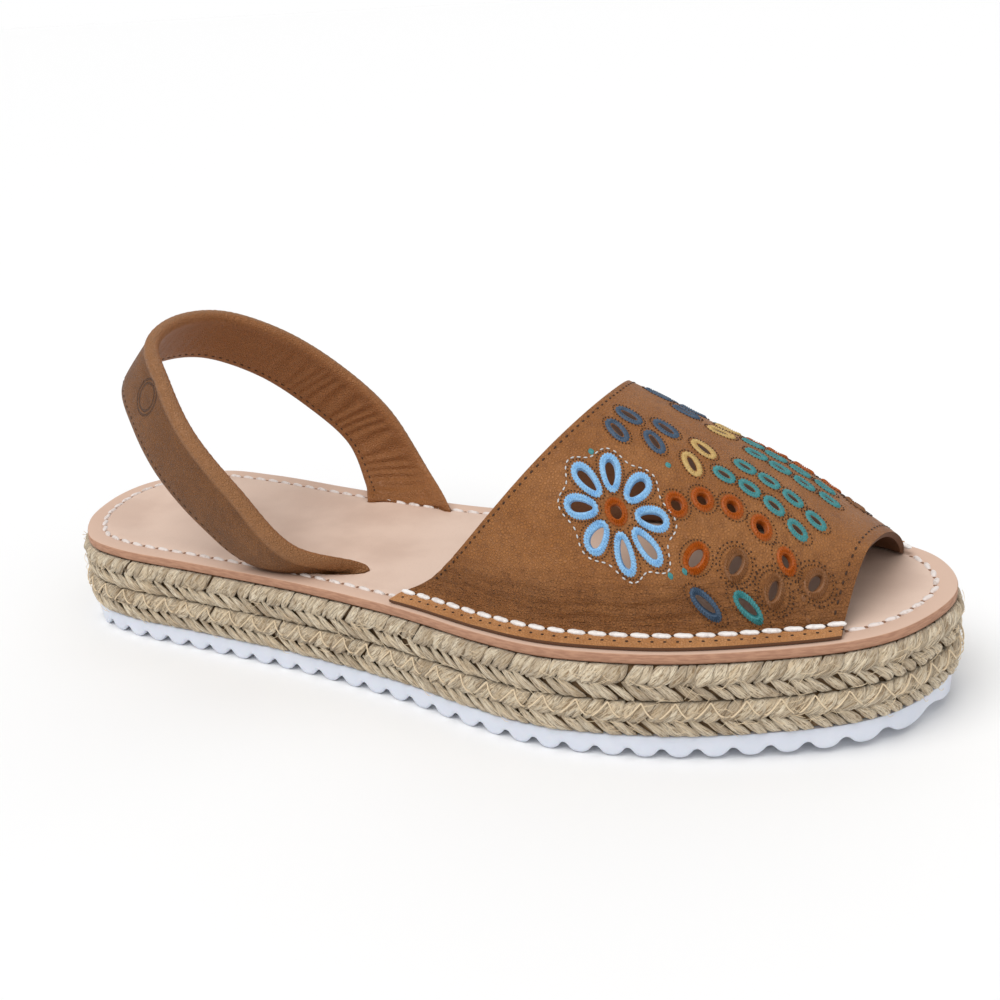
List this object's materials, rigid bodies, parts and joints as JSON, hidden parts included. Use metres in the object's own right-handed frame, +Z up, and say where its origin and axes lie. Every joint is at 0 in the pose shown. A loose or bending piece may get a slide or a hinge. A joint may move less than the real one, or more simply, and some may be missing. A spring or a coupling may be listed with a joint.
{
  "type": "platform sandal",
  "caption": "Open toe platform sandal for a right foot: leather vamp with cutwork, folded heel strap, stitched insole, jute braid platform and ribbed outsole.",
  "frame": {"origin": "on the ground under the middle of the sole", "axes": "+X from heel to toe, +Y to the inner side of the foot, +Z up"},
  "size_m": [0.2632, 0.0941, 0.09],
  "materials": {
    "outsole_rubber": "cool white moulded rubber, satin",
    "jute": "natural plaited jute, matt",
    "insole_leather": "smooth vegetable tanned leather, pale pink beige",
    "vamp_leather": "tan grain leather, soft sheen",
    "strap_leather": "brown nappa leather, soft sheen"
  },
  "bodies": {
    "root": {"outsole": "outsole_rubber", "jute_braid_lower": "jute", "jute_braid_upper": "jute", "insole": "insole_leather", "vamp": "vamp_leather", "heel_strap": "strap_leather"}
  },
  "joints": []
}
